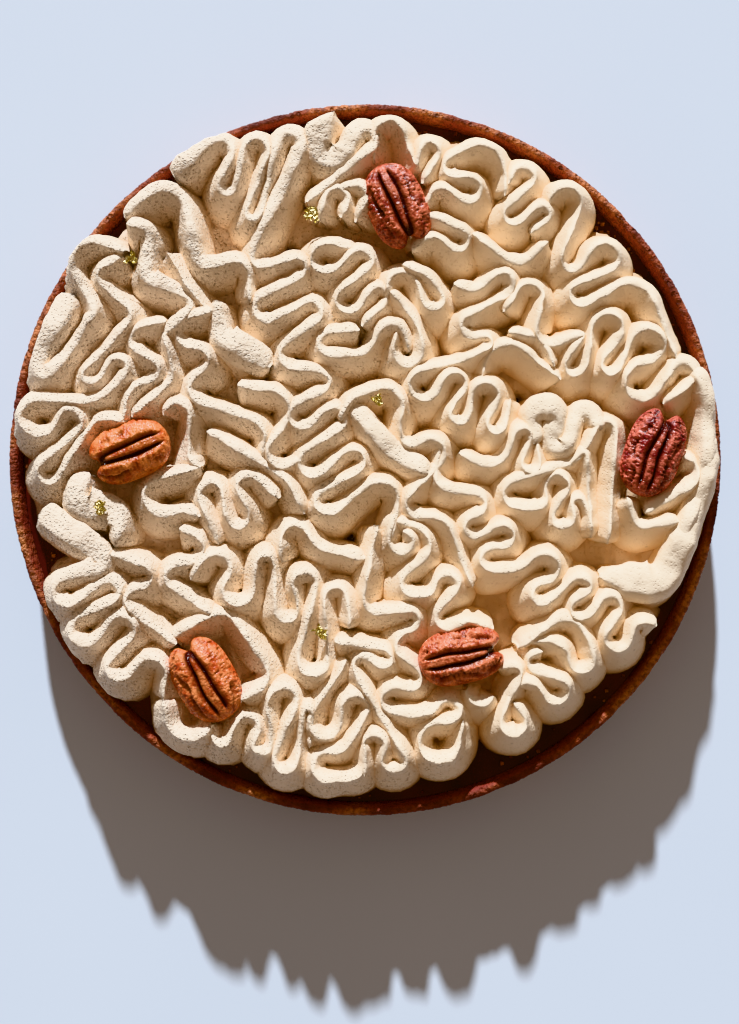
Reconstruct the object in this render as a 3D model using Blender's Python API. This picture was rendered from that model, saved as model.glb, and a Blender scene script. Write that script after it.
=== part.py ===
"""A 24 cm chocolate tart: a straight-sided shortcrust shell, a dark filling, piped ribbons of
coffee cream, five pecan halves and five flecks of gold leaf.

The plan of the piping is in millimetres from the middle of the tart, +Y to the back; everything
that Blender receives is in metres.
"""

import bmesh
import bpy
import math
import random
from mathutils import Matrix, Vector

MM = 0.001

# Shell: straight outside wall, flat base.
TART_RADIUS = 120.0
RIM_HEIGHT = 28.0
WALL = 4.0
BASE = 4.0
RIM_STEPS = 72
RIM_ROUGHNESS = 0.5
RIM_ROUND = 1.3
BASE_ROUND = 1.5
BASE_TAPER = 0.4
INNER_LIP = 0.9
INNER_LIP_DROP = 2.0

# Filling: a disc that stops short of the wall and the base by the clearance.
CLEARANCE = 0.3
FILLING_TOP = 21.0
FILLING_EDGE_DROP = 0.5
FILLING_EDGE_WIDTH = 3.0

# Cream: every ribbon is a ridge, wide at its foot and narrow along its top.
CREAM_FOOT = FILLING_TOP + CLEARANCE
RIDGE_TOP = 38.5
RIDGE_SWELL = 0.9
SWELL_LENGTH = 23.0
FOOT_HALF_WIDTH = 6.0
TOP_HALF_WIDTH = 1.7
FOOT_REACH = 113.6
TOP_REACH = 116.8
BEND_STEP = math.radians(52.0)
LEG_STEP = 24.0
BED_TOP = 25.6
BED_RADIUS = 88.0
BED_SIDES = 40
BLOCK_LAP = 0.25
SHORTEST_BLOCK = 0.3
CREAM_TRIANGLES = 8900
CREAM_SEED = 24

# Pecan halves: a domed crown with two long grooves over a flatter belly.
NUT_THICKNESS = 10.5
CROWN_SHARE = 0.62
BELLY_SHARE = 0.38
GROOVE_ANGLE = 0.28
GROOVE_WIDTH = 0.13
GROOVE_DEPTH = 0.3
NUT_RINGS = 12
NUT_SPOKES = 20
NUT_SEAT = 32.5
NUT_BLUNTNESS = 2.9
HOLLOW_GROWTH = (1.05, 1.06, 1.10)

# Gold leaf: crumpled flecks pressed into the cream.
FLECK_THICKNESS = 1.3
FLECK_CORNERS = 7

# Where each half nut lies: middle, length, width and the turn of its long axis in degrees.
PECANS = {
    "pecan_north": (10.5, 82.8, 29.0, 19.5, 113.0),
    "pecan_west": (-77.2, 2.4, 27.5, 19.0, 22.0),
    "pecan_east": (94.7, 2.1, 30.0, 19.0, 70.0),
    "pecan_south": (31.7, -64.7, 29.0, 18.5, 13.0),
    "pecan_south_west": (-52.4, -72.4, 29.5, 20.0, 120.0),
}

# Where each fleck lies, and how far it reaches.
GOLD_FLECKS = (
    (-17.3, 80.5, 3.4), (-76.4, 65.8, 3.0), (-86.2, -15.9, 3.6), (-13.7, -56.7, 3.2),
    (4.9, 19.1, 3.0),
)

# How the nozzle travels along each ribbon. An end is (x, y). A bend is (x, y, radius) of the
# circle it goes round: anticlockwise where the radius is above zero, clockwise where it is below.
RIBBONS = {
    "west_rim_fold": (
        (-96.5, 54), (-104.5, 29.5, 3), (-91.5, 48, 3.2), (-88.5, 63.5, -7.5), (-79, 68),
    ),
    "west_meander": (
        (-79.5, 66.5), (-84, 59.5, 3.5), (-79.5, 46.5, -3.5), (-89.5, 27, 2.8), (-81, 29.5, -3.6),
        (-93, 32, -13.7), (-107, 13.5, 6), (-96.5, 12, -4.2), (-103.5, -4.5, 3.8),
        (-85.5, 9, -4.5), (-78, 12),
    ),
    "west_inner": (
        (-65, 45), (-72.5, 38.8, 4.6), (-70, 28.8, -3), (-71, 18.5, 6.5), (-80, 10),
    ),
    "west_inner_short": (
        (-66, 42), (-68.5, 28, -5.5), (-76.5, 13.5),
    ),
    "north_west_petal": (
        (-78, 77), (-74, 72, -3.5), (-69, 60.5, 3), (-60.5, 50, -4), (-67, 40),
    ),
    "north_west_lip": (
        (-65, 68), (-58, 56), (-51, 48),
    ),
    "mid_west_wave": (
        (-50, 49), (-57, 41, 4.6), (-54, 32.5, -3.4), (-52.5, 23, 5.2), (-39, 6.5, -6.5), (-34, 0),
    ),
    "west_nut_lobe": (
        (-66, 14), (-61, 14.5, -4), (-58, 0), (-54, -3),
    ),
    "west_ring": (
        (-54, -3), (-66, -12.5, 6.4), (-59, -21, -4), (-54, -19),
    ),
    "west_long_ridge": (
        (-52, 9), (-33, -13, -9.5), (-20, -18),
    ),
    "west_pair": (
        (-48, -28), (-50.5, -11.5, -4), (-41.5, -19, 3.8), (-38, -9.5, -4), (-28, -13),
    ),
    "north_west_diagonal": (
        (-79, 79), (-66, 80, -8), (-52, 66.5, 3.8), (-42.5, 60, -5), (-38, 51),
    ),
    "north_west_sheet": (
        (-49, 52), (-44.5, 41, 3), (-31, 30),
    ),
    "north_north_west_pleats": (
        (-62, 92), (-48, 100, -5), (-45, 89.5, 3.2), (-35.5, 101, -4.2), (-36.5, 80, 2.6),
        (-24.5, 103, -4.2), (-33.5, 66, 3.8), (-28, 63.5),
    ),
    "heart_meander": (
        (-33, 62), (-22.5, 62.5, -3.5), (-32, 49, 4.4), (-17.5, 48, -3.8), (-23, 34, 4.8),
        (-15, 25, -3.6), (-20.5, 14, 4.4), (-10, 13, -4), (-17, -1.5, 4.6), (-4, -1, -4.2),
        (-12, -14, 4.4), (5, -13.5, -6), (9, -26),
    ),
    "heart_curl": (
        (10, -18), (12, -27, 4.2), (13.2, -27.4, 3.1), (12.5, -24),
    ),
    "heart_tail": (
        (9, -20), (15, -28.5, -6.3), (16, -41, 4.2), (20, -42.3, 2.8), (27, -41.5, -3.8),
        (27, -52, 4), (34, -55.5, -2.6), (42, -56),
    ),
    "centre_petal": (
        (-8, 12), (0, 14, -7), (6, 17, -6.5), (15.5, 8, 4), (22, 2, -4.5), (17.5, -15, 4.2),
        (21, -27, -8), (35, -42),
    ),
    "centre_diagonal": (
        (-5, 18), (8, 2), (21, -5),
    ),
    "south_east_meander": (
        (25, 6), (29, -5, 6), (36.5, -15, -3.6), (36, -22.5, 3.6), (45, -25.5, -4), (42, -33, 4),
        (48, -28, 8.5), (59, -36, -4.8), (58, -44.5, 3.6), (70.5, -42, -3.4), (71, -49.3, 3.6),
        (80.5, -48.5, -4), (83, -58.5, 4.6), (91, -56, -3), (96, -55),
    ),
    "east_of_centre_pleats": (
        (29, 57), (35, 60, 5), (45, 57, -4), (35, 43, 3.7), (39.5, 38, -2.4), (30, 44, -12),
        (19.5, 24, 5), (29.5, 24.5, -4), (31, 14.5, 3.4), (39.5, 20.5, -4.6), (43, 11, 3),
        (48, 20),
    ),
    "north_petal": (
        (-10, 114), (-10.5, 103, 5.5), (0, 104.5, -4), (-19, 84),
    ),
    "north_ring_left": (
        (-15, 78), (-9, 85, -4), (-8, 79),
    ),
    "north_ring_right": (
        (-9, 88), (-3, 86, -4), (-3, 78),
    ),
    "north_inner_meander": (
        (-3, 69), (-12.5, 65.5, 5), (-1.5, 64.5, -4), (-5, 52, 4.4), (4.5, 53, -3.4), (-1, 43.5),
    ),
    "north_inner_loop": (
        (8, 53), (12.5, 56.5, -5), (22.5, 52, 3.6), (20, 60), (12, 64),
    ),
    "centre_hook": (
        (8, 55), (4, 38, -14.5), (14, 35, -4.8), (10.5, 42),
    ),
    "centre_wave": (
        (-2, 42), (-11, 37.5, 4.2), (-3.5, 41, 7.3), (8.5, 39.5, -4.6), (15, 35),
    ),
    "north_rim_lobes": (
        (3, 97), (8, 105.5, -5), (17, 95), (21.5, 101, -3.2), (19, 90),
    ),
    "north_north_east_scroll": (
        (46, 86), (37, 93.5, 9), (29.5, 95.7, 3.6), (34, 87.8, -4.2), (25, 85, 4), (20, 82),
    ),
    "north_nut_scroll": (
        (20, 80), (30.5, 71.5, -3.8), (22, 67.5, 5), (15, 68),
    ),
    "north_east_bowl": (
        (35, 74), (50, 72, 8), (60, 71),
    ),
    "north_east_scroll": (
        (47, 90), (52, 92, -4), (49, 80, 3.5), (58, 80, -3), (54, 74),
    ),
    "north_east_rim": (
        (60, 83), (66, 84, -5), (68, 65, 3.8), (78.5, 65.5, -5), (71, 54, 4), (87, 50, -7.5),
        (102, 33),
    ),
    "north_east_inner": (
        (46, 48), (54, 53, -4.5), (61, 42, 5), (72, 41),
    ),
    "east_north_pleats": (
        (72, 41), (69, 30.5, 3.4), (79.5, 42.5, -5.2), (80.5, 30.5, 3.2), (92.5, 37, -5.6),
        (91, 25, 6), (104, 27.5, -4.2), (98, 18),
    ),
    "south_west_rim": (
        (-107, -18), (-88, -34.3, -2.6), (-97.5, -43.5, 4.6), (-84, -43.8, -3.9),
        (-91.5, -56, 5.2), (-79.5, -55.5, -4.6), (-80.5, -68.5, 4.2), (-70, -70, -5), (-66, -80),
    ),
    "west_gold_petal": (
        (-90, -5), (-90, -12.5, 5), (-84.5, -22, -4.5), (-82, -29),
    ),
    "south_west_bend": (
        (-84, -31), (-73.5, -38.5, -4), (-74.5, -46.5, 3.8), (-62, -61),
    ),
    "south_west_hook": (
        (-61, -23.5), (-57.5, -29.5, -5), (-61, -38.7, 4.3), (-50, -51),
    ),
    "south_west_nut_shoulder": (
        (-64, -59), (-47.5, -56.5, -6), (-37, -71, -5.5), (-41, -79),
    ),
    "south_west_nut_cup": (
        (-66, -79), (-57.5, -84.5, 7.5), (-50, -87),
    ),
    "south_rim_pleats": (
        (-49.5, -88), (-47, -91.5, 2.8), (-38.5, -88, -4), (-33.5, -94, 3), (-27, -79.5, -4.8),
        (-26, -99, 4), (-18.5, -82.5, -1.6), (-18, -95),
    ),
    "south_west_pleats": (
        (-57, -40), (-49, -36, -5), (-41.5, -43, 5), (-32.5, -34, -3), (-25.5, -49.5, 4),
        (-19.5, -41, -4), (-17, -66, 5), (-9.5, -46, -4), (-5, -56),
    ),
    "south_of_centre_arch": (
        (-27, -34), (-23, -26, -4.5), (-11, -24, 6.5), (0, -33),
    ),
    "south_meander": (
        (4, -22), (3.5, -47, 4), (14.5, -53, -3.4), (14, -61, 4), (15, -72, -3.8), (10, -79, 4.6),
        (19.5, -79.5, 4.2), (27.5, -82.5, -3.8), (24.5, -93, 6.6), (32, -86),
    ),
    "south_diagonal": (
        (-10, -60), (6, -65.5, -3.2), (-0.5, -68, 3.5), (9.5, -99, -4), (3.5, -93.8, 3.8),
        (0, -104),
    ),
    "south_rim_lobes": (
        (-6, -66), (-13, -86.5, 5.2), (-3, -81.5, -4.5), (-9.5, -91.3, -4.8), (-12.5, -101, 4.6),
        (-5, -100, 5), (0, -93),
    ),
    "south_nut_cup": (
        (42, -78), (38, -77, -4), (33, -76),
    ),
    "south_east_leaf": (
        (50, -60), (60, -66, -6.5), (71, -66, 4.2), (66, -58, 6), (50, -62),
    ),
    "east_rim_inner": (
        (108, 30), (106, 18, -6.5), (97, -2, -15), (103, -28),
    ),
    "east_of_centre_cup": (
        (31, 2), (40, 5.5, 8), (51.5, 7, -3.2), (54.4, -2, 3), (56.5, 6),
    ),
    "east_broad_petal": (
        (56, 5), (59, 12.5, -4.6), (64, 6, 3.2), (72, 12, -3.6), (77, 9),
    ),
    "east_meander": (
        (79.5, -28), (79, 9, 3.4), (63.5, 7, -9.5), (50, -11.5, 4.5), (55.5, -12.5, 4.2),
        (63, -8.8, -3.8), (65, -19.5, 3.6), (69.8, -15, -2.4), (74, -20),
    ),
    "east_bridge": (
        (66, -4), (71.5, 1.5, -1.2), (74, -26),
    ),
    "east_arch": (
        (38.5, 27), (47, 29, -8.3), (64, 26),
    ),
    "east_arch_back": (
        (47, 41.5), (54, 34, -6), (62, 30),
    ),
    "east_nut_cup": (
        (104, 1), (104.5, -4.5, -5), (92, -17.5),
    ),
    "east_nut_fold": (
        (86, -12.5), (91, -19.5, 3.2), (103, -20.5),
    ),
    "east_rim_outer": (
        (77, -38.5), (92.5, -33.5, 8.5), (112, -8), (114, 8),
    ),
    "centre_west_hook": (
        (-42, 24), (-31.5, 15.5, -7), (-27, 2, 5), (-20, 0),
    ),
    "south_east_rim": (
        (58, -63), (56.5, -66.8, 3.2), (62.8, -76, -4.2), (53, -76.5, 4), (48.7, -86.5, 4.2),
        (49, -80),
    ),
    "south_nut_shoulder": (
        (44, -69), (48.5, -70.5, -3), (47, -80),
    ),
}


def clear_scene():
    for item in list(bpy.data.objects):
        bpy.data.objects.remove(item, do_unlink=True)


def material(name, colour, roughness):
    made = bpy.data.materials.new(name)
    made.use_nodes = True
    shader = made.node_tree.nodes["Principled BSDF"]
    shader.inputs["Base Color"].default_value = (*colour, 1.0)
    shader.inputs["Roughness"].default_value = roughness
    shader.inputs["Metallic"].default_value = 0.0
    return made


def object_from(name, bm, surface=None, smooth=False):
    """One object made from a bmesh in millimetres."""
    bmesh.ops.scale(bm, vec=(MM, MM, MM), verts=bm.verts)
    bmesh.ops.recalc_face_normals(bm, faces=bm.faces)
    mesh = bpy.data.meshes.new(name)
    bm.to_mesh(mesh)
    bm.free()
    made = bpy.data.objects.new(name, mesh)
    bpy.context.collection.objects.link(made)
    if surface:
        mesh.materials.append(surface)
    if smooth:
        mesh.polygons.foreach_set("use_smooth", [True] * len(mesh.polygons))
    return made


def lathe(bm, rings):
    """Closed solid of revolution: each ring is (radius, height) as functions of the angle."""
    loops = []
    for radius, height in rings:
        loop = []
        for step in range(RIM_STEPS):
            angle = 2 * math.pi * step / RIM_STEPS
            reach = radius(angle)
            place = (reach * math.cos(angle), reach * math.sin(angle), height(angle))
            loop.append(bm.verts.new(place))
        loops.append(loop)
    for lower, upper in zip(loops, loops[1:]):
        for step in range(RIM_STEPS):
            after = (step + 1) % RIM_STEPS
            bm.faces.new((lower[step], lower[after], upper[after], upper[step]))
    bm.faces.new(loops[0])
    bm.faces.new(loops[-1])


def constant(value):
    return lambda angle: value


def rim_wobble(angle, phase, size):
    """Unevenness round the rim, nothing at the four points that set the overall size."""
    return size * abs(math.sin(2 * angle)) * (0.5 + 0.5 * math.sin(11 * angle + phase))


def crust(surface):
    inner = TART_RADIUS - WALL
    bm = bmesh.new()
    lathe(bm, (
        (constant(TART_RADIUS - BASE_ROUND), constant(0.0)),
        (constant(TART_RADIUS - BASE_TAPER), constant(BASE_ROUND)),
        (lambda a: TART_RADIUS - rim_wobble(a, 0.0, RIM_ROUGHNESS),
         lambda a: RIM_HEIGHT - RIM_ROUND - rim_wobble(a, 1.0, RIM_ROUGHNESS)),
        (lambda a: TART_RADIUS - RIM_ROUND - rim_wobble(a, 2.0, RIM_ROUGHNESS),
         lambda a: RIM_HEIGHT - rim_wobble(a, 3.0, RIM_ROUGHNESS)),
        (lambda a: inner + INNER_LIP - rim_wobble(a, 4.0, RIM_ROUGHNESS),
         lambda a: RIM_HEIGHT - rim_wobble(a, 5.0, RIM_ROUGHNESS)),
        (lambda a: inner + rim_wobble(a, 6.0, RIM_ROUGHNESS), constant(RIM_HEIGHT - INNER_LIP_DROP)),
        (constant(inner), constant(BASE)),
    ))
    return object_from("crust", bm, surface)


def filling(surface):
    reach = TART_RADIUS - WALL - CLEARANCE
    bm = bmesh.new()
    lathe(bm, (
        (constant(reach), constant(BASE + CLEARANCE)),
        (constant(reach), constant(FILLING_TOP - FILLING_EDGE_DROP)),
        (constant(reach - FILLING_EDGE_WIDTH), constant(FILLING_TOP)),
    ))
    return object_from("filling", bm, surface)


def tangent(here, there):
    """Heading of the straight leg between two bends, and its two ends."""
    (x0, y0, r0), (x1, y1, r1) = here, there
    span = math.hypot(x1 - x0, y1 - y0)
    slip = max(-0.98, min(0.98, (r1 - r0) / span))
    heading = math.atan2(y1 - y0, x1 - x0) - math.asin(slip)
    left = Vector((-math.sin(heading), math.cos(heading)))
    return heading, Vector((x0, y0)) - r0 * left, Vector((x1, y1)) - r1 * left


def route(stops):
    """Points along a ribbon: straight legs, and arcs round its bends."""
    stops = [stop if len(stop) == 3 else (*stop, 0.0) for stop in stops]
    legs = [tangent(*pair) for pair in zip(stops, stops[1:])]
    points = []
    for number, (heading, start, end) in enumerate(legs):
        parts = max(1, round((end - start).length / LEG_STEP))
        points += [start.lerp(end, part / parts) for part in range(parts + 1)]
        if number + 1 == len(legs):
            break
        x, y, radius = stops[number + 1]
        turn = (legs[number + 1][0] - heading) * math.copysign(1, radius)
        turn = turn % (2 * math.pi) * math.copysign(1, radius)
        parts = max(1, round(abs(turn) / BEND_STEP))
        for part in range(1, parts):
            along = heading + turn * part / parts
            points.append(Vector((x + radius * math.sin(along), y - radius * math.cos(along))))
    return points


def held_in(point, reach):
    return point if point.length <= reach else point * (reach / point.length)


def section(point, across, travelled, phase):
    """Four corners of a ribbon's cross-section."""
    top = RIDGE_TOP + RIDGE_SWELL * math.sin(travelled * 2 * math.pi / SWELL_LENGTH + phase)
    corners = []
    for side, half, reach, height in (
        (-1, FOOT_HALF_WIDTH, FOOT_REACH, CREAM_FOOT),
        (1, FOOT_HALF_WIDTH, FOOT_REACH, CREAM_FOOT),
        (1, TOP_HALF_WIDTH, TOP_REACH, top),
        (-1, TOP_HALF_WIDTH, TOP_REACH, top),
    ):
        place = held_in(point + side * half * across, reach)
        corners.append((place.x, place.y, height))
    return corners


def ribbon_pieces(stops, phase):
    """The ribbon as one short closed block between each two cross-sections."""
    points = route(stops)
    points = points[:1] + [
        there for here, there in zip(points, points[1:])
        if (there - here).length > SHORTEST_BLOCK
    ]
    sections = []
    travelled = 0.0
    for number, point in enumerate(points):
        before = points[max(0, number - 1)]
        after = points[min(len(points) - 1, number + 1)]
        along = (after - before).normalized()
        travelled += (point - before).length
        sections.append(section(point, Vector((-along.y, along.x)), travelled, phase))
    for first, second in zip(sections, sections[1:]):
        bm = bmesh.new()
        lap = (Vector(second[0]) - Vector(first[0])).normalized() * BLOCK_LAP
        corners = [bm.verts.new(Vector(corner) - lap) for corner in first]
        corners += [bm.verts.new(Vector(corner) + lap) for corner in second]
        hull = bmesh.ops.convex_hull(bm, input=corners)
        spare = [item for item in hull["geom_interior"] if isinstance(item, bmesh.types.BMVert)]
        bmesh.ops.delete(bm, geom=spare, context="VERTS")
        yield bm


def gold_fleck(x, y, reach, draw):
    """A crumpled fleck lying in the top of the cream."""
    bm = bmesh.new()
    corners = []
    for corner in range(FLECK_CORNERS):
        angle = 2 * math.pi * corner / FLECK_CORNERS
        out = reach * draw.uniform(0.6, 1.0)
        for lift in (-FLECK_THICKNESS, draw.uniform(0.1, 0.6)):
            place = (x + out * math.cos(angle), y + out * math.sin(angle), RIDGE_TOP + lift)
            corners.append(bm.verts.new(place))
    corners.append(bm.verts.new((x, y, RIDGE_TOP + FLECK_THICKNESS)))
    hull = bmesh.ops.convex_hull(bm, input=corners)
    spare = [item for item in hull["geom_interior"] if isinstance(item, bmesh.types.BMVert)]
    bmesh.ops.delete(bm, geom=spare, context="VERTS")
    return bm


def cream_bed():
    """The lowest cream, which closes the gaps between the ribbons' feet."""
    bm = bmesh.new()
    corners = []
    for step in range(BED_SIDES):
        angle = 2 * math.pi * step / BED_SIDES
        for height in (CREAM_FOOT, BED_TOP):
            place = (BED_RADIUS * math.cos(angle), BED_RADIUS * math.sin(angle), height)
            corners.append(bm.verts.new(place))
    bmesh.ops.convex_hull(bm, input=corners)
    return bm


def joined(name, pieces, surface):
    """All the closed pieces as one solid."""
    group = bpy.data.collections.new(name + "_pieces")
    bpy.context.scene.collection.children.link(group)
    whole = None
    for number, bm in enumerate(pieces):
        piece = object_from("%s_piece_%d" % (name, number), bm)
        if whole is None:
            whole = piece
            continue
        bpy.context.collection.objects.unlink(piece)
        group.objects.link(piece)
    whole.name = name
    whole.data.materials.append(surface)
    union = whole.modifiers.new("union", "BOOLEAN")
    union.operation = "UNION"
    union.operand_type = "COLLECTION"
    union.collection = group
    union.solver = "MANIFOLD"
    apply_modifiers(whole)
    for piece in list(group.objects):
        bpy.data.objects.remove(piece, do_unlink=True)
    bpy.data.collections.remove(group)
    return whole


def apply_modifiers(item):
    graph = bpy.context.evaluated_depsgraph_get()
    made = bpy.data.meshes.new_from_object(item.evaluated_get(graph))
    item.modifiers.clear()
    item.data = made


def thinned(whole, most):
    """Fewer triangles where the surface is nearly flat."""
    whole.data.calc_loop_triangles()
    thin = whole.modifiers.new("thin", "DECIMATE")
    thin.ratio = min(1.0, most / len(whole.data.loop_triangles))
    thin.use_collapse_triangulate = True
    apply_modifiers(whole)


def cream(surface):
    draw = random.Random(CREAM_SEED)
    pieces = []
    for stops in RIBBONS.values():
        pieces += list(ribbon_pieces(stops, draw.uniform(0, 2 * math.pi)))
    pieces.append(cream_bed())
    pieces += [gold_fleck(*fleck, draw) for fleck in GOLD_FLECKS]
    whole = joined("cream", pieces, surface)
    thinned(whole, CREAM_TRIANGLES)
    return whole


def crown_reach(from_ridge):
    """Share of the full reach that the crown has at an angle from its middle ridge."""
    reach = 1.0
    for groove in (-GROOVE_ANGLE, GROOVE_ANGLE):
        reach -= GROOVE_DEPTH * math.exp(-(((from_ridge - groove) / GROOVE_WIDTH) ** 2))
    return reach


def pecan(name, place, surface):
    x, y, length, width, turn = place
    bm = bmesh.new()
    rings = []
    for ring in range(1, NUT_RINGS):
        share = -math.cos(math.pi * ring / NUT_RINGS)
        girth = (1 - abs(share) ** NUT_BLUNTNESS) ** 0.5
        loop = []
        for step in range(NUT_SPOKES):
            angle = 2 * math.pi * step / NUT_SPOKES
            rise = math.sin(angle)
            crown = rise > 0
            reach = crown_reach(math.atan2(math.cos(angle), rise)) if crown else 1.0
            across = 0.5 * width * girth * math.cos(angle) * reach
            up = NUT_THICKNESS * girth * rise * reach * (CROWN_SHARE if crown else BELLY_SHARE)
            loop.append(bm.verts.new((0.5 * length * share, across, up)))
        rings.append(loop)
    tips = [bm.verts.new((side * 0.5 * length, 0.0, 0.0)) for side in (-1, 1)]
    for lower, upper in zip(rings, rings[1:]):
        for step in range(NUT_SPOKES):
            after = (step + 1) % NUT_SPOKES
            bm.faces.new((lower[step], lower[after], upper[after], upper[step]))
    for tip, loop in zip(tips, (rings[0], rings[-1])):
        for step in range(NUT_SPOKES):
            bm.faces.new((tip, loop[step], loop[(step + 1) % NUT_SPOKES]))
    bmesh.ops.triangulate(bm, faces=bm.faces)
    seat = Vector((x, y, NUT_SEAT + BELLY_SHARE * NUT_THICKNESS))
    turned = Matrix.Translation(seat) @ Matrix.Rotation(math.radians(turn), 4, "Z")
    bmesh.ops.transform(bm, matrix=turned, verts=bm.verts)
    return object_from(name, bm, surface, smooth=True)


def seat_pecans(whole, nuts):
    """Presses a hollow into the cream for each nut, a little larger than the nut."""
    for nut in nuts:
        hollow = nut.copy()
        hollow.data = nut.data.copy()
        hollow.name = nut.name + "_hollow"
        bpy.context.collection.objects.link(hollow)
        middle = sum((v.co for v in hollow.data.vertices), Vector()) / len(hollow.data.vertices)
        grown = Matrix.Diagonal((*HOLLOW_GROWTH, 1.0))
        turn = Matrix.Rotation(math.radians(PECANS[nut.name][4]), 4, "Z")
        about = Matrix.Translation(middle) @ turn @ grown @ turn.inverted()
        hollow.data.transform(about @ Matrix.Translation(-middle))
        hollow.hide_render = True
        hollow.display_type = "WIRE"
        cut = whole.modifiers.new(hollow.name, "BOOLEAN")
        cut.operation = "DIFFERENCE"
        cut.object = hollow
        cut.solver = "MANIFOLD"
    apply_modifiers(whole)
    for nut in nuts:
        bpy.data.objects.remove(bpy.data.objects[nut.name + "_hollow"], do_unlink=True)


def main():
    clear_scene()
    crust(material("crust", (0.42, 0.14, 0.045), 0.85))
    filling(material("filling", (0.030, 0.008, 0.005), 0.18))
    nuts = []
    for name, place in PECANS.items():
        nuts.append(pecan(name, place, material(name, (0.25, 0.055, 0.018), 0.5)))
    piped = cream(material("cream", (0.72, 0.50, 0.32), 0.62))
    seat_pecans(piped, nuts)


main()
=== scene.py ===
import math
import random

import bpy
import numpy as np
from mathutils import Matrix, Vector, noise


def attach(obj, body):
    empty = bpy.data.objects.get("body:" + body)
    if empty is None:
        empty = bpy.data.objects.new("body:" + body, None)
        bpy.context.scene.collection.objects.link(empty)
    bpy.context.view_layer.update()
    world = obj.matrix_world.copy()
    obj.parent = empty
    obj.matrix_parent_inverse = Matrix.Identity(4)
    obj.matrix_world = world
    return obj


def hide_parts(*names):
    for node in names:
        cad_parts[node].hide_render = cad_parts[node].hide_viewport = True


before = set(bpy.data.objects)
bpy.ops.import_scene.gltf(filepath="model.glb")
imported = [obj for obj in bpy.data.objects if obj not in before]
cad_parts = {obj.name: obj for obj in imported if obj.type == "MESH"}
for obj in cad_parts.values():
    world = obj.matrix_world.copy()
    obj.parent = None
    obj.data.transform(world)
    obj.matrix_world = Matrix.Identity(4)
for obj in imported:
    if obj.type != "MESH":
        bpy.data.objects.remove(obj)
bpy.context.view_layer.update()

MM = 0.001

# Unevenness: its seed, how fast its smaller octaves fade, and how much finer each one is.
NOISE_SEED = 24
OCTAVE_FADE = 0.7
OCTAVE_GAP = 2.0

# Shell: half of its cross-section from the base up the outside, over the rim and down inside.
TART_RADIUS = 120.0
WALL = 4.0
SMOOTH_BASE = 2.0
SHELL_STEPS = 1440
SHELL_LINE = (
    (118.5, 0.0), (119.6, 1.4), (119.9, 4.0), (119.9, 9.0), (119.9, 14.0), (119.9, 19.0),
    (119.9, 23.0), (119.8, 25.4), (119.5, 26.8), (118.9, 27.6), (118.1, 27.9), (117.3, 27.8),
    (116.7, 27.2), (116.3, 26.0), (116.1, 24.0), (116.0, 21.5), (116.0, 18.0),
)

# Loose crumbs: how far from the wall they lie, half their size, and the faces of one.
CRUMB_COUNT = 150
CRUMB_STRIP = (0.6, 5.5)
CRUMB_SIZES = (0.25, 0.75)
CRUMB_SEED = 31
BOX_FACES = (
    (0, 1, 3, 2), (4, 6, 7, 5), (0, 4, 5, 1), (2, 3, 7, 6), (0, 2, 6, 4), (1, 5, 7, 3),
)

# Filling: a rippled top that turns up a little at the wall.
FILLING_TOP = 21.0
POOL_RINGS = 60
POOL_STEPS = 720
POOL_DROP = 0.35
POOL_RIPPLE = 0.28
MENISCUS = 0.3
MENISCUS_WIDTH = 3.0

# Piped cream: heights, reach from the middle of the tart, and the swell along each ridge.
CREAM_FOOT = 21.2
RIDGE_TOP = 38.5
RIDGE_SWELL = 0.9
SWELL_LENGTH = 23.0
CREAM_REACH = 116.8
FOOT_REACH = 113.6
CREAM_SEED = 24

# Route of the nozzle: its steps, and how its corners are eased.
PIPE_STEP = 1.05
STEEPEST_SLIP = 0.98
SAME_POINT = 1e-4
EASINGS = 2
BEND_WINDOW = 5
TIGHT_BEND = 4.0
WITHIN_BEND = 0.95

# Top of a ribbon, in shares of its cross-section: narrower than that, wider again where it runs
# from side to side, and BREADTH times what TOP_WIDTHS adds. Each waver is (size, length).
BREADTH = 1.5
NARROWING = 0.52
SIDEWAYS_WIDENING = 0.32
WIDTH_WAVER = (0.32, 7.0)
LIFT_WAVER = (0.45, 4.0)
LEAN_WAVER = (0.35, 11.0)
END_LENGTH = 3.6
END_WIDTH = 0.35
END_DROP = 2.6

# Sides of a ribbon: fuller inside a bend and at the back, pinched outside a bend, with a foot
# that flares to the front. The crest tips forward and is a little round.
CREST_DEPTH = 6.0
CREST_TILT = 0.14
CREST_ROUND = 0.07
INNER_SWELL = 0.5
INNER_START = 1.2
OUTER_PINCH = 0.22
OUTER_FLARE = 0.10
BACK_SWELL = 0.95
BACK_START = 0.4
BACK_DEPTH = 8.0
FRONT_FLARE = 0.30
FLARE_START = 3.0
FLARE_DEPTH = 5.0

# Skin of the cream: fine puckers, and a slump that is slower along the ribbon.
PUCKER_AT_FOOT = 0.16
PUCKER_AT_CREST = 0.26
PUCKER_LENGTH = 1.9
SLUMP = 0.45
SLUMP_LENGTH = 6.0

# Half of the ribbon's cross-section: distance from the ridge line, and drop below it.
RIBBON_SIDE = (
    (0.0, 0.0), (0.38, 0.02), (0.75, 0.14), (1.1, 0.5), (1.6, 1.4), (2.6, 3.2),
    (3.8, 5.6), (5.1, 8.4), (6.1, 11.2), (6.9, 17.0),
)

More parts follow.
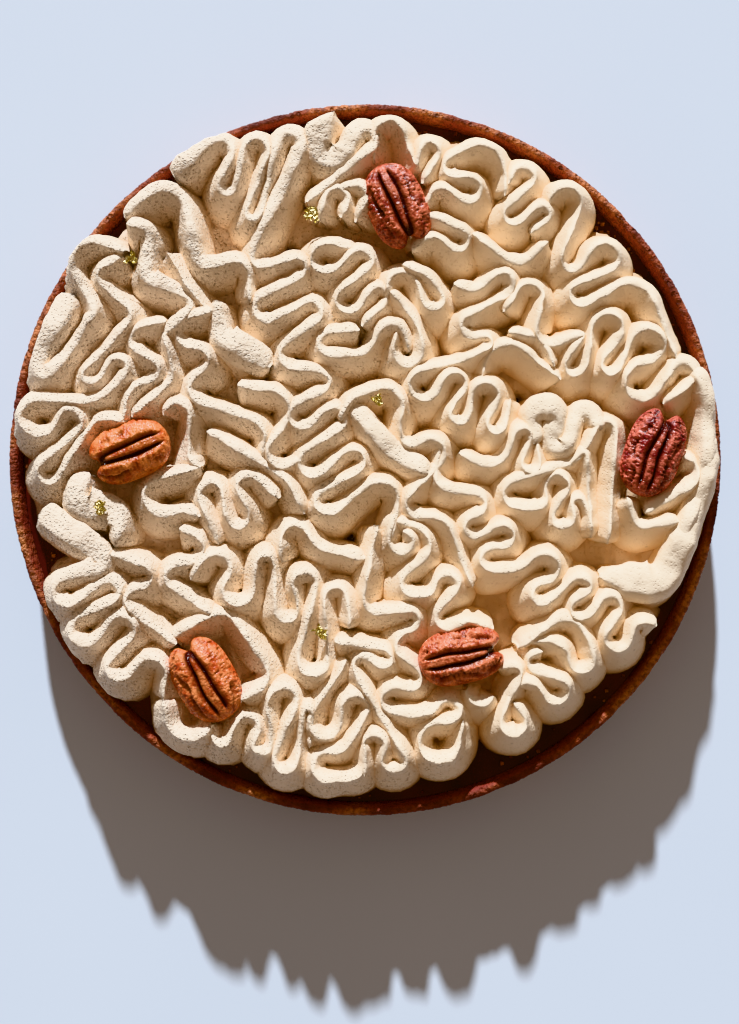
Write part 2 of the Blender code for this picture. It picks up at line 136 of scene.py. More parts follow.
# Half nuts: middle, length, width, turn of the long axis in degrees towards the end where its
# grooves open, and how dark, red and wrinkled the skin is.
PECANS = {
    "pecan_north": (10.5, 82.8, 29.0, 19.5, -67.0, 0.75),
    "pecan_west": (-77.2, 2.4, 27.5, 19.0, 202.0, 0.0),
    "pecan_east": (94.7, 2.1, 30.0, 19.0, 70.0, 1.0),
    "pecan_south": (31.7, -64.7, 29.0, 18.5, 13.0, 0.5),
    "pecan_south_west": (-52.4, -72.4, 29.5, 20.0, 120.0, 0.15),
}
NUT_THICKNESS = 10.5
NUT_SEAT = 32.5
NUT_BLUNTNESS = 3.0
NUT_RINGS = 130
NUT_SPOKES = 150
CROWN_SHARE = 0.62
BELLY_SHARE = 0.38

# Relief of a nut, in shares of its thickness and in radians from its middle ridge.
FURROWS_APART = 0.30
FURROWS_CLOSING = 0.12
FURROW_WIDTH = 0.10
FURROW_DEPTH = 0.36
SIDE_FURROW_DEPTH = 0.20
RIDGE_DROP = 0.10
RIDGE_DROP_OPEN = 0.30
RIDGE_SWAY = 0.12
NOTCH_SPAN = (0.45, 1.0)
NOTCH_DEPTH = 0.26
NOTCH_WIDTH = 0.24
LOBE_LUMPS = 0.07
FOLD_DEPTH = 0.15
FINE_DEPTH = 0.09
# Painted shade: how much darker a crease is coloured for its depth.
CREASE_PAINTED_SHADE = 2.2

# How wide the top of a ribbon is, as (share of its length, times the usual width).
USUAL_WIDTH = ((0.0, 1.0), (1.0, 1.0))
TOP_WIDTHS = {
    "west_rim_fold": ((0.0, 2.2), (0.25, 1.8), (0.5, 1.2), (1.0, 1.0)),
    "north_west_diagonal": ((0.0, 1.2), (0.3, 1.2), (0.5, 1.7), (0.7, 1.3), (1.0, 1.0)),
    "north_west_sheet": ((0.0, 1.4), (0.3, 2.0), (0.8, 2.1), (1.0, 1.6)),
    "north_west_lip": ((0.0, 0.7), (1.0, 0.7)),
    "north_north_west_pleats": ((0.0, 2.2), (0.12, 1.2), (0.5, 1.0), (0.8, 1.6), (1.0, 1.0)),
    "north_petal": ((0.0, 0.6), (0.12, 2.6), (0.3, 2.2), (0.6, 1.2), (1.0, 1.0)),
    "south_west_rim": ((0.0, 2.3), (0.12, 2.2), (0.22, 1.2), (1.0, 1.0)),
    "east_rim_outer": ((0.0, 1.0), (0.12, 2.4), (0.4, 2.6), (0.7, 2.0), (1.0, 1.5)),
    "east_rim_inner": ((0.0, 1.6), (0.5, 1.9), (1.0, 1.4)),
    "west_gold_petal": ((0.0, 1.2), (0.3, 2.6), (0.6, 2.4), (1.0, 1.2)),
    "east_broad_petal": ((0.0, 1.9), (0.5, 2.0), (1.0, 1.5)),
    "centre_diagonal": ((0.0, 1.6), (0.5, 2.0), (1.0, 1.4)),
    "north_west_petal": ((0.0, 1.4), (0.4, 1.6), (0.7, 1.1), (1.0, 1.0)),
}

# Openings between the ribbons that go down to the filling: middle and reach. Their edges are
# frayed, and they start at a share of that reach.
OPENINGS = (
    (-19, 88, 3.0), (-26, 68, 4.5), (12, 62, 4.0), (46, 67, 2.5), (87, 45, 2.5), (50, 19, 3.0),
    (14, 10, 2.0), (29, -5, 2.0), (0, 39, 2.5), (-15, 32, 2.5), (-4, -12, 2.5), (-5, -27, 2.0),
    (8, -44, 2.0), (-40, -31, 3.0), (-57, -15, 2.0), (-41, -65, 0.9),
)
OPENING_RIM = 0.75
OPENING_SLOPE = 1.6
OPENING_FRAY = 0.25
FRAY_LENGTH = 2.2

# Bed of cream under the ribbons: how far it reaches from them, with some more near the middle of
# the tart, and how it dips below the filling at its edges.
BED_TOP = 25.6
BED_STEP = 1.1
BED_SKIP = 3
BED_REACH = 8.0
BED_EXTRA = 4.0
BED_EXTRA_STARTS = 94.0
BED_EXTRA_ENDS = 104.0
BED_SLOPE = 3.0
BED_DIP = 7.5
BED_SINK = 2.0
BED_LAST_EDGE = -0.8
BED_LUMPS = 1.6
BED_LUMP_LENGTH = 7.0
BED_FOLDS = 1.5
# Painted shade: how far down the cream's colour ramp the bed is put, below what its height gives.
BED_SHADE = 0.8

# Gold leaf: where each fleck lies, and how far it reaches.
GOLD_FLECKS = (
    (-17.3, 80.5, 3.4), (-76.4, 65.8, 3.0), (-86.2, -15.9, 3.6), (-13.7, -56.7, 3.2),
    (4.9, 19.1, 3.0),
)
SCRAPS = 4
SCRAP_ROWS = 12
SCRAP_COLUMNS = 8
GOLD_SEED = 9

# Stage, in metres and degrees: the sun stands low behind the tart and a little to the left.
FLOOR_REACH = 2.5
SUN_STRENGTH = 7.1
SUN_COLOUR = (0.83, 0.914, 1.0)
SUN_ANGLE = 2.0
SUN_ELEVATION = 23.2
SUN_DRIFT = 5.4
FILL_COLOUR = (1.0, 0.78, 0.62, 1.0)
FILL_STRENGTH = 0.28
CAMERA_PLACE = (0.0015, -0.0175, 0.467)
SENSOR_WIDTH = 36.0
LENS = 46.1

# How the nozzle travels along each ribbon. An end is (x, y). A bend is (x, y, radius) of the
# circle it goes round: anticlockwise where the radius is above zero, clockwise where it is below.
RIBBONS = {
    "west_rim_fold": (
        (-96.5, 54), (-104.5, 29.5, 3), (-91.5, 48, 3.2), (-88.5, 63.5, -7.5), (-79, 68),
    ),
    "west_meander": (
        (-79.5, 66.5), (-84, 59.5, 3.5), (-79.5, 46.5, -3.5), (-89.5, 27, 2.8), (-81, 29.5, -3.6),
        (-93, 32, -13.7), (-107, 13.5, 6), (-96.5, 12, -4.2), (-103.5, -4.5, 3.8),
        (-85.5, 9, -4.5), (-78, 12),
    ),
    "west_inner": (
        (-65, 45), (-72.5, 38.8, 4.6), (-70, 28.8, -3), (-71, 18.5, 6.5), (-80, 10),
    ),
    "west_inner_short": (
        (-66, 42), (-68.5, 28, -5.5), (-76.5, 13.5),
    ),
    "north_west_petal": (
        (-78, 77), (-74, 72, -3.5), (-69, 60.5, 3), (-60.5, 50, -4), (-67, 40),
    ),
    "north_west_lip": (
        (-65, 68), (-58, 56), (-51, 48),
    ),
    "mid_west_wave": (
        (-50, 49), (-57, 41, 4.6), (-54, 32.5, -3.4), (-52.5, 23, 5.2), (-39, 6.5, -6.5), (-34, 0),
    ),
    "west_nut_lobe": (
        (-66, 14), (-61, 14.5, -4), (-58, 0), (-54, -3),
    ),
    "west_ring": (
        (-54, -3), (-66, -12.5, 6.4), (-59, -21, -4), (-54, -19),
    ),
    "west_long_ridge": (
        (-52, 9), (-33, -13, -9.5), (-20, -18),
    ),
    "west_pair": (
        (-48, -28), (-50.5, -11.5, -4), (-41.5, -19, 3.8), (-38, -9.5, -4), (-28, -13),
    ),
    "north_west_diagonal": (
        (-79, 79), (-66, 80, -8), (-52, 66.5, 3.8), (-42.5, 60, -5), (-38, 51),
    ),
    "north_west_sheet": (
        (-49, 52), (-44.5, 41, 3), (-31, 30),
    ),
    "north_north_west_pleats": (
        (-62, 92), (-48, 100, -5), (-45, 89.5, 3.2), (-35.5, 101, -4.2), (-36.5, 80, 2.6),
        (-24.5, 103, -4.2), (-33.5, 66, 3.8), (-28, 63.5),
    ),
    "heart_meander": (
        (-33, 62), (-22.5, 62.5, -3.5), (-32, 49, 4.4), (-17.5, 48, -3.8), (-23, 34, 4.8),
        (-15, 25, -3.6), (-20.5, 14, 4.4), (-10, 13, -4), (-17, -1.5, 4.6), (-4, -1, -4.2),
        (-12, -14, 4.4), (5, -13.5, -6), (9, -26),
    ),
    "heart_curl": (
        (10, -18), (12, -27, 4.2), (13.2, -27.4, 3.1), (12.5, -24),
    ),
    "heart_tail": (
        (9, -20), (15, -28.5, -6.3), (16, -41, 4.2), (20, -42.3, 2.8), (27, -41.5, -3.8),
        (27, -52, 4), (34, -55.5, -2.6), (42, -56),
    ),
    "centre_petal": (
        (-8, 12), (0, 14, -7), (6, 17, -6.5), (15.5, 8, 4), (22, 2, -4.5), (17.5, -15, 4.2),
        (21, -27, -8), (35, -42),
    ),
    "centre_diagonal": (
        (-5, 18), (8, 2), (21, -5),
    ),
    "south_east_meander": (
        (25, 6), (29, -5, 6), (36.5, -15, -3.6), (36, -22.5, 3.6), (45, -25.5, -4), (42, -33, 4),
        (48, -28, 8.5), (59, -36, -4.8), (58, -44.5, 3.6), (70.5, -42, -3.4), (71, -49.3, 3.6),
        (80.5, -48.5, -4), (83, -58.5, 4.6), (91, -56, -3), (96, -55),
    ),
    "east_of_centre_pleats": (
        (29, 57), (35, 60, 5), (45, 57, -4), (35, 43, 3.7), (39.5, 38, -2.4), (30, 44, -12),
        (19.5, 24, 5), (29.5, 24.5, -4), (31, 14.5, 3.4), (39.5, 20.5, -4.6), (43, 11, 3),
        (48, 20),
    ),
    "north_petal": (
        (-10, 114), (-10.5, 103, 5.5), (0, 104.5, -4), (-19, 84),
    ),
    "north_ring_left": (
        (-15, 78), (-9, 85, -4), (-8, 79),
    ),
    "north_ring_right": (
        (-9, 88), (-3, 86, -4), (-3, 78),
    ),
    "north_inner_meander": (
        (-3, 69), (-12.5, 65.5, 5), (-1.5, 64.5, -4), (-5, 52, 4.4), (4.5, 53, -3.4), (-1, 43.5),
    ),
    "north_inner_loop": (
        (8, 53), (12.5, 56.5, -5), (22.5, 52, 3.6), (20, 60), (12, 64),
    ),
    "centre_hook": (
        (8, 55), (4, 38, -14.5), (14, 35, -4.8), (10.5, 42),
    ),
    "centre_wave": (
        (-2, 42), (-11, 37.5, 4.2), (-3.5, 41, 7.3), (8.5, 39.5, -4.6), (15, 35),
    ),
    "north_rim_lobes": (
        (3, 97), (8, 105.5, -5), (17, 95), (21.5, 101, -3.2), (19, 90),
    ),
    "north_north_east_scroll": (
        (46, 86), (37, 93.5, 9), (29.5, 95.7, 3.6), (34, 87.8, -4.2), (25, 85, 4), (20, 82),
    ),
    "north_nut_scroll": (
        (20, 80), (30.5, 71.5, -3.8), (22, 67.5, 5), (15, 68),
    ),
    "north_east_bowl": (
        (35, 74), (50, 72, 8), (60, 71),
    ),
    "north_east_scroll": (
        (47, 90), (52, 92, -4), (49, 80, 3.5), (58, 80, -3), (54, 74),
    ),
    "north_east_rim": (
        (60, 83), (66, 84, -5), (68, 65, 3.8), (78.5, 65.5, -5), (71, 54, 4), (87, 50, -7.5),
        (102, 33),
    ),
    "north_east_inner": (
        (46, 48), (54, 53, -4.5), (61, 42, 5), (72, 41),
    ),
    "east_north_pleats": (
        (72, 41), (69, 30.5, 3.4), (79.5, 42.5, -5.2), (80.5, 30.5, 3.2), (92.5, 37, -5.6),
        (91, 25, 6), (104, 27.5, -4.2), (98, 18),
    ),
    "south_west_rim": (
        (-107, -18), (-88, -34.3, -2.6), (-97.5, -43.5, 4.6), (-84, -43.8, -3.9),
        (-91.5, -56, 5.2), (-79.5, -55.5, -4.6), (-80.5, -68.5, 4.2), (-70, -70, -5), (-66, -80),
    ),
    "west_gold_petal": (
        (-90, -5), (-90, -12.5, 5), (-84.5, -22, -4.5), (-82, -29),
    ),
    "south_west_bend": (
        (-84, -31), (-73.5, -38.5, -4), (-74.5, -46.5, 3.8), (-62, -61),
    ),
    "south_west_hook": (
        (-61, -23.5), (-57.5, -29.5, -5), (-61, -38.7, 4.3), (-50, -51),
    ),
    "south_west_nut_shoulder": (
        (-64, -59), (-47.5, -56.5, -6), (-37, -71, -5.5), (-41, -79),
    ),
    "south_west_nut_cup": (
        (-66, -79), (-57.5, -84.5, 7.5), (-50, -87),
    ),
    "south_rim_pleats": (
        (-49.5, -88), (-47, -91.5, 2.8), (-38.5, -88, -4), (-33.5, -94, 3), (-27, -79.5, -4.8),
        (-26, -99, 4), (-18.5, -82.5, -1.6), (-18, -95),
    ),
    "south_west_pleats": (
        (-57, -40), (-49, -36, -5), (-41.5, -43, 5), (-32.5, -34, -3), (-25.5, -49.5, 4),
        (-19.5, -41, -4), (-17, -66, 5), (-9.5, -46, -4), (-5, -56),
    ),
    "south_of_centre_arch": (
        (-27, -34), (-23, -26, -4.5), (-11, -24, 6.5), (0, -33),
    ),
    "south_meander": (
        (4, -22), (3.5, -47, 4), (14.5, -53, -3.4), (14, -61, 4), (15, -72, -3.8), (10, -79, 4.6),
        (19.5, -79.5, 4.2), (27.5, -82.5, -3.8), (24.5, -93, 6.6), (32, -86),
    ),
    "south_diagonal": (
        (-10, -60), (6, -65.5, -3.2), (-0.5, -68, 3.5), (9.5, -99, -4), (3.5, -93.8, 3.8),
        (0, -104),
    ),
    "south_rim_lobes": (
        (-6, -66), (-13, -86.5, 5.2), (-3, -81.5, -4.5), (-9.5, -91.3, -4.8), (-12.5, -101, 4.6),
        (-5, -100, 5), (0, -93),
    ),
    "south_nut_cup": (
        (42, -78), (38, -77, -4), (33, -76),
    ),
    "south_east_leaf": (
        (50, -60), (60, -66, -6.5), (71, -66, 4.2), (66, -58, 6), (50, -62),
    ),
    "east_rim_inner": (
        (108, 30), (106, 18, -6.5), (97, -2, -15), (103, -28),
    ),
    "east_of_centre_cup": (
        (31, 2), (40, 5.5, 8), (51.5, 7, -3.2), (54.4, -2, 3), (56.5, 6),
    ),
    "east_broad_petal": (
        (56, 5), (59, 12.5, -4.6), (64, 6, 3.2), (72, 12, -3.6), (77, 9),
    ),
    "east_meander": (
        (79.5, -28), (79, 9, 3.4), (63.5, 7, -9.5), (50, -11.5, 4.5), (55.5, -12.5, 4.2),
        (63, -8.8, -3.8), (65, -19.5, 3.6), (69.8, -15, -2.4), (74, -20),
    ),
    "east_bridge": (
        (66, -4), (71.5, 1.5, -1.2), (74, -26),
    ),
    "east_arch": (
        (38.5, 27), (47, 29, -8.3), (64, 26),
    ),
    "east_arch_back": (
        (47, 41.5), (54, 34, -6), (62, 30),
    ),
    "east_nut_cup": (
        (104, 1), (104.5, -4.5, -5), (92, -17.5),
    ),
    "east_nut_fold": (
        (86, -12.5), (91, -19.5, 3.2), (103, -20.5),
    ),
    "east_rim_outer": (
        (77, -38.5), (92.5, -33.5, 8.5), (112, -8), (114, 8),
    ),
    "centre_west_hook": (
        (-42, 24), (-31.5, 15.5, -7), (-27, 2, 5), (-20, 0),
    ),
    "south_east_rim": (
        (58, -63), (56.5, -66.8, 3.2), (62.8, -76, -4.2), (53, -76.5, 4), (48.7, -86.5, 4.2),
        (49, -80),
    ),
    "south_nut_shoulder": (
        (44, -69), (48.5, -70.5, -3), (47, -80),
    ),
}


# ---------------------------------------------------------------- meshes

def mesh_piece(name, points, faces, surface, slot, rounded=True, **layers):
    """A piece of the tart from points in millimetres, with one float layer per keyword."""
    mesh = bpy.data.meshes.new(name)
    mesh.from_pydata((np.asarray(points) * MM).tolist(), [], faces)
    mesh.validate()
    for layer, values in layers.items():
        made = mesh.attributes.new(layer, "FLOAT", "POINT")
        made.data.foreach_set("value", np.asarray(values, dtype=np.float32))
    mesh.polygons.foreach_set("use_smooth", [rounded] * len(mesh.polygons))
    mesh.materials.append(surface)
    piece = bpy.data.objects.new(name, mesh)
    bpy.context.scene.collection.objects.link(piece)
    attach(piece, "root")
    return piece


def strip_faces(rows, columns, start=0, round_columns=False, round_rows=False):
    """Quads of a grid of points that was listed row by row."""
    faces = []
    for row in range(rows if round_rows else rows - 1):
        lower = start + row * columns
        upper = start + ((row + 1) % rows) * columns
        for column in range(columns if round_columns else columns - 1):
            after = (column + 1) % columns
            faces.append((lower + column, lower + after, upper + after, upper + column))
    return faces


def rough(point, scale, octaves=3):
    """Smooth unevenness between about -1 and 1 at a point in millimetres."""
    return noise.fractal(Vector(point) / scale, OCTAVE_FADE, OCTAVE_GAP, octaves)


def eased(value, start, end):
    """0 before the start, 1 past the end, and a soft step between them."""
    share = min(1.0, max(0.0, (value - start) / (end - start)))
    return share * share * (3 - 2 * share)


# ---------------------------------------------------------------- piped cream

def tangent(here, there):
    """Heading of the straight leg between two bends, and its two ends."""
    (x0, y0, r0), (x1, y1, r1) = here, there
    span = math.hypot(x1 - x0, y1 - y0)
    slip = max(-STEEPEST_SLIP, min(STEEPEST_SLIP, (r1 - r0) / span))
    heading = math.atan2(y1 - y0, x1 - x0) - math.asin(slip)
    left = Vector((-math.sin(heading), math.cos(heading)))
    return heading, Vector((x0, y0)) - r0 * left, Vector((x1, y1)) - r1 * left


def route(stops):
    """Points along a ribbon: straight legs, and arcs round its bends."""
    stops = [stop if len(stop) == 3 else (*stop, 0.0) for stop in stops]
    legs = [tangent(*pair) for pair in zip(stops, stops[1:])]
    points = []
    for number, (heading, start, end) in enumerate(legs):
        parts = max(1, round((end - start).length / PIPE_STEP))
        points += [start.lerp(end, part / parts) for part in range(parts + 1)]
        if number + 1 == len(legs):
            break
        x, y, radius = stops[number + 1]
        turn = (legs[number + 1][0] - heading) * math.copysign(1, radius)
        turn = turn % (2 * math.pi) * math.copysign(1, radius)
        parts = max(1, round(abs(turn * radius) / PIPE_STEP))
        for part in range(1, parts):
            along = heading + turn * part / parts
            points.append(Vector((x + radius * math.sin(along), y - radius * math.cos(along))))
    return np.array([tuple(point) for point in points])


def evenly(points):
    """The same route at even steps, with its corners eased."""
    gaps = np.hypot(*np.diff(points, axis=0).T)
    points = points[np.concatenate([[True], gaps > SAME_POINT])]
    travelled = np.concatenate([[0], np.cumsum(np.hypot(*np.diff(points, axis=0).T))])
    count = max(4, round(travelled[-1] / PIPE_STEP))
    marks = np.linspace(0, travelled[-1], count + 1)
    even = np.stack([np.interp(marks, travelled, points[:, axis]) for axis in (0, 1)], axis=1)
    for _ in range(EASINGS):
        even[1:-1] = 0.25 * even[:-2] + 0.5 * even[1:-1] + 0.25 * even[2:]
    return even, marks


def bend_of(heading):
    """1 over the radius of the bend at each point, above zero where the route turns left."""
    angle = np.unwrap(np.arctan2(heading[:, 1], heading[:, 0]))
    turn = np.gradient(angle) / PIPE_STEP
    window = np.full(BEND_WINDOW, 1 / BEND_WINDOW)
    return np.convolve(np.pad(turn, BEND_WINDOW // 2, mode="edge"), window, "valid")


def waver(size_and_length, mark, phase, layer):
    """A slow change along a ribbon, different in each ribbon and each layer."""
    size, length = size_and_length
    return size * noise.noise(Vector((mark / length, phase, layer)))


def side_spread(out, drop, wide, inner, backward):
    """How far the side of a ribbon stands from its ridge line, where its sides are uneven."""
    upper = max(0.0, 1 - drop / CREST_DEPTH)
    spread = out * (1 + (wide - 1) * upper)
    if inner > 0:
        spread *= 1 + INNER_SWELL * inner * min(1.0, drop / INNER_START) * upper
    else:
        spread *= 1 + OUTER_PINCH * inner * upper - OUTER_FLARE * inner * (1 - upper)
    lip = min(1.0, drop / BACK_START) * max(0.0, 1 - drop / BACK_DEPTH)
    spread *= 1 + BACK_SWELL * max(0.0, backward) * lip
    flare = FRONT_FLARE * backward * min(1.0, drop / FLARE_DEPTH) * (drop > FLARE_START)
    return spread * (1 - flare)


def ribbon(name, stops, phase, lists):
    """Adds one piped ribbon to the lists."""
    points, faces, ridge = lists
    line, marks = evenly(route(stops))
    heading = np.gradient(line, axis=0)
    heading /= np.hypot(*heading.T)[:, None]
    bends = bend_of(heading)
    across = np.stack([-heading[:, 1], heading[:, 0]], axis=1)
    shares, times = zip(*TOP_WIDTHS.get(name, USUAL_WIDTH))
    broad = 1 + BREADTH * (np.interp(marks / marks[-1], shares, times) - 1)
    side = [(-1, out, drop) for out, drop in reversed(RIBBON_SIDE[1:])]
    side += [(1, out, drop) for out, drop in RIBBON_SIDE]
    start = len(points)
    deepest = RIBBON_SIDE[-1][1]
    length = marks[-1]
    for number, (place, mark) in enumerate(zip(line, marks)):
        swell = RIDGE_SWELL * math.sin(mark * 2 * math.pi / SWELL_LENGTH + phase)
        wide = broad[number] - NARROWING + SIDEWAYS_WIDENING * abs(across[number][1])
        wide += waver(WIDTH_WAVER, mark, phase * 7.0, 0.0)
        lift = waver(LIFT_WAVER, mark, phase * 5.0, 3.0)
        lean = waver(LEAN_WAVER, mark, phase * 3.0, 9.0)
        taper = min(1.0, min(mark, length - mark) / END_LENGTH)
        taper = END_WIDTH + (1 - END_WIDTH) * math.sqrt(taper * (2 - taper))
        top = RIDGE_TOP + swell + lift - END_DROP * (1 - taper)
        for hand, out, drop in side:
            bend = bends[number] * hand
            inner = max(-1.0, min(1.0, bend * TIGHT_BEND))
            backward = hand * across[number][1]
            spread = taper * side_spread(out, drop, wide, inner, backward)
            if bend > 0:
                spread = min(spread, WITHIN_BEND / bend)
            spot = place + hand * spread * across[number]
            upper = max(0.0, 1 - drop / CREST_DEPTH)
            height = top - drop * (top - CREAM_FOOT) / deepest
            height += (lean * hand - CREST_TILT * backward) * out * upper
            height -= CREST_ROUND * max(0.0, backward, inner) * out * out * upper
            reach = FOOT_REACH + (CREAM_REACH - FOOT_REACH) * math.sqrt(1 - drop / deepest)
            held = min(1.0, reach / max(SAME_POINT, math.hypot(*spot)))
            points.append((spot[0] * held, spot[1] * held, height))
            ridge.append(1 - drop / deepest)
    rows, columns = len(line), len(side)
    faces += strip_faces(rows, columns, start)
    faces.append(tuple(range(start, start + columns)))
    faces.append(tuple(reversed(range(start + (rows - 1) * columns, start + rows * columns))))


def piped_cream(surface):
    """Every ribbon, in one mesh with a puckered skin."""
    draw = random.Random(CREAM_SEED)
    lists = points, faces, ridge = [], [], []
    for name, stops in RIBBONS.items():
        ribbon(name, stops, draw.uniform(0, 2 * math.pi), lists)
    puckered = []
    for (x, y, z), share in zip(points, ridge):
        place = Vector((x, y, z))
        fine = PUCKER_AT_FOOT + (PUCKER_AT_CREST - PUCKER_AT_FOOT) * share
        shift = noise.noise_vector(place / PUCKER_LENGTH) * fine
        shift += noise.noise_vector(place / SLUMP_LENGTH) * SLUMP
        puckered.append((x + shift.x, y + shift.y, max(CREAM_FOOT - 0.1, z + shift.z)))
    piece = mesh_piece("cream_piping", puckered, faces, surface, "cream", ridge=ridge)
    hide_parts("cream")
    return piece


def cream_bed(surface):
    """The lowest cream, which shows between the ribbons, open where the filling shows."""
    line = np.concatenate([evenly(route(stops))[0][::BED_SKIP] for stops in RIBBONS.values()])
    side = int(2 * CREAM_REACH / BED_STEP) + 1
    ticks = np.linspace(-CREAM_REACH, CREAM_REACH, side)
    points, covered = [], []
    for y in ticks:
        for x in ticks:
            near = math.sqrt(((line - (x, y)) ** 2).sum(axis=1).min())
            from_middle = math.hypot(x, y)
            opened = min(math.hypot(x - u, y - v) / reach for u, v, reach in OPENINGS)
            opened += OPENING_FRAY * noise.noise(Vector((x, y, 4.0)) / FRAY_LENGTH)
            further = BED_EXTRA * eased(-from_middle, -BED_EXTRA_ENDS, -BED_EXTRA_STARTS)
            edge = min(
                (BED_REACH + further - near) / BED_SLOPE,
                (FOOT_REACH - from_middle) / BED_SLOPE,
                (opened - OPENING_RIM) * OPENING_SLOPE,
            )
            dip = 1 - min(1.0, max(-0.2, edge))
            lumps = BED_LUMPS * rough((x, y, 0.0), BED_LUMP_LENGTH)
            lumps += BED_FOLDS * noise.noise(Vector((x / 3.0, y / 7.0, 2.0)))
            height = BED_TOP + lumps - BED_DIP * dip ** 2
            points.append((x, y, max(FILLING_TOP - BED_SINK, height)))
            covered.append(edge > BED_LAST_EDGE)
    # Painted shade: the whole bed takes one dark place on the cream's colour ramp.
    low = [(BED_TOP - CREAM_FOOT) / (RIDGE_TOP - CREAM_FOOT) * BED_SHADE] * len(points)
    faces = [face for face in strip_faces(side, side) if all(covered[corner] for corner in face)]
    return mesh_piece("cream_bed", points, faces, surface, "cream", ridge=low)


# ---------------------------------------------------------------- nuts

def groove(angle, middle, width, depth):
    """Depth of a furrow that runs the length of a nut, at an angle from its ridge."""
    return depth * math.exp(-(((angle - middle) / width) ** 2))


def nut_relief(share, girth, from_ridge, spot, seed, dark, phase):
    """How far out the crown's skin stands, as a share, and how deep it lies in a furrow or crease,
    which the skin's colour turns into painted shade.
    """
    apart = FURROWS_APART - FURROWS_CLOSING * eased(share, -0.6, 0.95)
    cut = eased(share, -0.96, -0.66)
    opened = eased(share, *NOTCH_SPAN)
    hollow = 0.0
    for hand in (-1, 1):
        hollow += cut * groove(from_ridge, hand * apart, FURROW_WIDTH, FURROW_DEPTH)
        second = noise.noise(Vector((share * 3.0, hand * 7.0, 2.0)) + seed) + 0.15 + 0.2 * dark
        middle = hand * (0.80 + 0.12 * math.sin(share * 5 + hand + phase))
        side_furrow = girth * groove(from_ridge, middle, FURROW_WIDTH, SIDE_FURROW_DEPTH)
        hollow += side_furrow * min(1.0, max(0.0, second * 2.5))
    hollow += cut * groove(from_ridge, 0.0, apart * 0.9, RIDGE_DROP + RIDGE_DROP_OPEN * opened)
    lobe = eased(abs(from_ridge), apart + 0.05, apart + 0.3)
    fold = noise.noise(Vector((spot.x / 0.75, spot.y / 3.0, spot.z / 3.0)))
    fine = noise.fractal(spot / 1.2, 0.8, OCTAVE_GAP, 3)
    wrinkled = (0.4 + 0.6 * lobe) * (0.55 + 0.45 * dark)
    crease = wrinkled * (FOLD_DEPTH * abs(fold) + FINE_DEPTH * abs(fine))
    reach = 1.0 - hollow + LOBE_LUMPS * noise.noise(spot / 4.0) * lobe - crease
    # The second value is painted shade: furrows and creases are coloured darker the deeper they
    # lie.
    return reach, hollow + CREASE_PAINTED_SHADE * max(0.0, crease - 0.02)


def half_nut(name, surface):
    """Two wrinkled lobes beside a low ridge, split by a notch at the end where it is open."""
    x, y, length, width, turn, dark = PECANS[name]
    seed = Vector((x, y, 0.0))
    cos_turn, sin_turn = math.cos(math.radians(turn)), math.sin(math.radians(turn))
    points, deep = [], []
    for ring in range(NUT_RINGS + 1):
        share = -math.cos(math.pi * (ring + 0.02) / (NUT_RINGS + 0.04))
        girth = max(0.0, 1 - abs(share) ** NUT_BLUNTNESS) ** 0.5
        opened = eased(share, *NOTCH_SPAN)
        sway = RIDGE_SWAY * noise.noise(Vector((share * 1.6, 5.0, 0)) + seed)
        for step in range(NUT_SPOKES):
            angle = 2 * math.pi * step / NUT_SPOKES
            rise, lean = math.sin(angle), math.cos(angle)
            reach, hollow = 1.0, 0.0
            if rise > 0:
                spot = Vector((share * 0.5 * length, lean * 0.5 * width, rise * 6)) + seed
                from_ridge = math.atan2(lean, rise) - sway
                reach, hollow = nut_relief(share, girth, from_ridge, spot, seed, dark, x)
            across = 0.5 * width * girth * lean * min(1.03, reach)
            half = CROWN_SHARE if rise > 0 else BELLY_SHARE
            up = NUT_THICKNESS * girth * rise * reach * half
            notch = NOTCH_DEPTH * opened * math.exp(-(girth * lean / NOTCH_WIDTH) ** 2)
            along = 0.5 * length * (share - notch)
            points.append((
                x + along * cos_turn - across * sin_turn,
                y + along * sin_turn + across * cos_turn,
                NUT_SEAT + BELLY_SHARE * NUT_THICKNESS + up,
            ))
            # Painted shade for the skin's colour, from furrow and crease depth.
            deep.append(hollow)
    faces = strip_faces(NUT_RINGS + 1, NUT_SPOKES, round_columns=True)
    faces.append(tuple(reversed(range(NUT_SPOKES))))
    faces.append(tuple(range(NUT_RINGS * NUT_SPOKES, (NUT_RINGS + 1) * NUT_SPOKES)))
    piece = mesh_piece(name + "_half", points, faces, surface, "pecan", groove=deep)
    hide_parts(name)
    return piece


# ---------------------------------------------------------------- shell and filling

def shell(surface):
    """The crust: an even wall and base, bitten into grains that are deepest at the rim."""
    points, inside = [], []
    middle = TART_RADIUS - WALL / 2
    for step in range(SHELL_STEPS):
        angle = 2 * math.pi * step / SHELL_STEPS
        for radius, height in SHELL_LINE:
            inside.append(eased(-radius, -117.4, -116.4))
            place = Vector((radius * math.cos(angle), radius * math.sin(angle), height))
            bite = max(0.0, rough(place, 6.0)) * 0.5 + abs(noise.noise(place / 1.0)) * 0.6
            upper = min(1.0, max(0.0, (height - 22.0) / 5.0))
            bite *= 0.35 + 0.65 * upper
            if height < SMOOTH_BASE:
                bite = 0.0
            inward = -1 if radius > middle else 1
            radius_now = radius + inward * bite * (0.8 if height < 27 else 0.3)
            height_now = height - bite * upper
            points.append((radius_now * math.cos(angle), radius_now * math.sin(angle), height_now))
    columns = len(SHELL_LINE)
    faces = strip_faces(SHELL_STEPS, columns, round_rows=True)
    faces.append(tuple(step * columns for step in reversed(range(SHELL_STEPS))))
    piece = mesh_piece("crust_shell", points, faces, surface, "crust", inside=inside)
    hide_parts("crust")
    return piece


